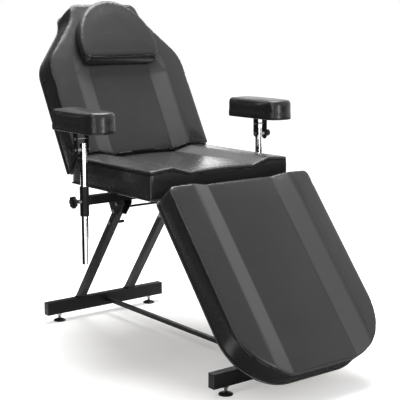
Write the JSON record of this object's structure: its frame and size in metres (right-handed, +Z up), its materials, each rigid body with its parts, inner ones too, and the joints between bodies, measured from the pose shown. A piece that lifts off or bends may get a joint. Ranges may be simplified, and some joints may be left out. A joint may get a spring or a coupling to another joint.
{
  "type": "tattoo chair",
  "caption": "Reclining client chair with an upholstered seat, backrest and leg rest on a slanted steel frame, and padded armrests on posts.",
  "frame": {"origin": "on the floor, under the middle of the chair's footprint", "axes": "+Z up, -Y towards the foot end that the chair faces, +X towards the sitter's left"},
  "size_m": [0.8982, 1.377, 1.2575],
  "materials": {
    "powder_coat": "satin",
    "chrome": "polished",
    "zinc": "satin",
    "black_vinyl": "satin",
    "black_fabric": "matte",
    "black_plastic": "satin",
    "plywood": "matte"
  },
  "bodies": {
    "frame": {"front_foot_bar": "powder_coat", "rear_foot_bar": "powder_coat", "foot_bar_end_caps": "black_plastic", "foot_lock_nuts": "zinc", "floor_tie_tube": "powder_coat", "front_legs": "powder_coat", "rear_legs": "powder_coat", "leg_liners": "powder_coat", "leg_brackets": "powder_coat", "leg_bolts": "zinc", "leg_nuts": "zinc", "leg_bolt_caps": "black_plastic", "bracket_tie_rods": "powder_coat", "seat_cross_rails": "powder_coat", "seat_rails": "powder_coat", "seat_board": "plywood", "seat_cushion": "black_vinyl", "seat_screws": "zinc", "hinge_fixed_arms": "powder_coat", "hinge_wheels": "zinc", "hinge_pins": "zinc", "armrest_bar": "powder_coat", "post_sleeves": "powder_coat", "clamp_nuts": "zinc"},
    "backrest": {"backrest_rails": "powder_coat", "backrest_cross_bars": "powder_coat", "backrest_board": "plywood", "backrest_cushion": "black_vinyl", "backrest_hinge_arms": "powder_coat", "backrest_hinge_pawls": "zinc", "backrest_fasteners": "zinc", "head_pillow": "black_vinyl", "pillow_strips": "black_fabric"},
    "leg_rest": {"leg_rest_rails": "powder_coat", "leg_rest_cross_bars": "powder_coat", "leg_rest_board": "plywood", "leg_rest_cushion": "black_vinyl", "leg_rest_hinge_arms": "powder_coat", "leg_rest_hinge_pawls": "zinc", "leg_rest_fasteners": "zinc"},
    "levelling_foot_front_left": {"levelling_foot_front_left": "black_plastic"},
    "levelling_foot_front_right": {"levelling_foot_front_right": "black_plastic"},
    "levelling_foot_rear_left": {"levelling_foot_rear_left": "black_plastic"},
    "levelling_foot_rear_right": {"levelling_foot_rear_right": "black_plastic"},
    "left_bushes": {"left_sleeve_bushes": "black_plastic"},
    "left_post": {"left_post": "chrome"},
    "left_armrest": {"left_pad_holder": "powder_coat", "left_holder_fasteners": "zinc", "left_arm_pad_board": "plywood", "left_arm_pad": "black_vinyl"},
    "left_tilt_knob": {"left_tilt_knob": "black_plastic"},
    "left_clamp_knob": {"left_clamp_knob": "black_plastic"},
    "right_bushes": {"right_sleeve_bushes": "black_plastic"},
    "right_post": {"right_post": "chrome"},
    "right_armrest": {"right_pad_holder": "powder_coat", "right_holder_fasteners": "zinc", "right_arm_pad_board": "plywood", "right_arm_pad": "black_vinyl"},
    "right_tilt_knob": {"right_tilt_knob": "black_plastic"},
    "right_clamp_knob": {"right_clamp_knob": "black_plastic"}
  },
  "joints": [
    {"name": "backrest_tilt", "type": "hinge", "parent": "frame", "child": "backrest", "pos_m": [0, 0.37344, 0.582], "axis": [-1, 0, 0], "range_deg": [0, 61]},
    {"name": "leg_rest_tilt", "type": "hinge", "parent": "frame", "child": "leg_rest", "pos_m": [0, -0.17456, 0.582], "axis": [-1, 0, 0], "range_deg": [0, 50.9]},
    {"name": "levelling_foot_front_left_turn", "type": "hinge", "parent": "frame", "child": "levelling_foot_front_left", "pos_m": [0.217, -0.44656, 0.032], "axis": [0, 0, 1], "continuous": true},
    {"name": "levelling_foot_front_right_turn", "type": "hinge", "parent": "frame", "child": "levelling_foot_front_right", "pos_m": [-0.217, -0.44656, 0.032], "axis": [0, 0, 1], "continuous": true},
    {"name": "levelling_foot_rear_left_turn", "type": "hinge", "parent": "frame", "child": "levelling_foot_rear_left", "pos_m": [0.217, 0.61344, 0.032], "axis": [0, 0, 1], "continuous": true},
    {"name": "levelling_foot_rear_right_turn", "type": "hinge", "parent": "frame", "child": "levelling_foot_rear_right", "pos_m": [-0.217, 0.61344, 0.032], "axis": [0, 0, 1], "continuous": true},
    {"name": "left_post_swivel", "type": "hinge", "parent": "frame", "child": "left_bushes", "pos_m": [0.3935, 0.10944, 0.57475], "axis": [0, 0, 1], "range_deg": [-90, 90]},
    {"name": "left_post_height", "type": "slide", "parent": "left_bushes", "child": "left_post", "axis": [0, 0, 1], "range_m": [-0.08, 0.12]},
    {"name": "left_pad_tilt", "type": "hinge", "parent": "left_post", "child": "left_armrest", "pos_m": [0.3935, 0.10944, 0.754], "axis": [1, 0, 0], "range_deg": [-10, 10]},
    {"name": "left_tilt_knob_turn", "type": "hinge", "parent": "left_armrest", "child": "left_tilt_knob", "pos_m": [0.3935, 0.10944, 0.754], "axis": [1, 0, 0], "continuous": true},
    {"name": "left_clamp_knob_turn", "type": "hinge", "parent": "frame", "child": "left_clamp_knob", "pos_m": [0.3935, 0.10944, 0.57475], "axis": [1, 0, 0], "continuous": true},
    {"name": "right_post_swivel", "type": "hinge", "parent": "frame", "child": "right_bushes", "pos_m": [-0.3935, 0.10944, 0.57475], "axis": [0, 0, 1], "range_deg": [-90, 90]},
    {"name": "right_post_height", "type": "slide", "parent": "right_bushes", "child": "right_post", "axis": [0, 0, 1], "range_m": [-0.08, 0.12]},
    {"name": "right_pad_tilt", "type": "hinge", "parent": "right_post", "child": "right_armrest", "pos_m": [-0.3935, 0.10944, 0.754], "axis": [1, 0, 0], "range_deg": [-10, 10]},
    {"name": "right_tilt_knob_turn", "type": "hinge", "parent": "right_armrest", "child": "right_tilt_knob", "pos_m": [-0.3935, 0.10944, 0.754], "axis": [-1, 0, 0], "continuous": true},
    {"name": "right_clamp_knob_turn", "type": "hinge", "parent": "frame", "child": "right_clamp_knob", "pos_m": [-0.3935, 0.10944, 0.57475], "axis": [-1, 0, 0], "continuous": true}
  ]
}
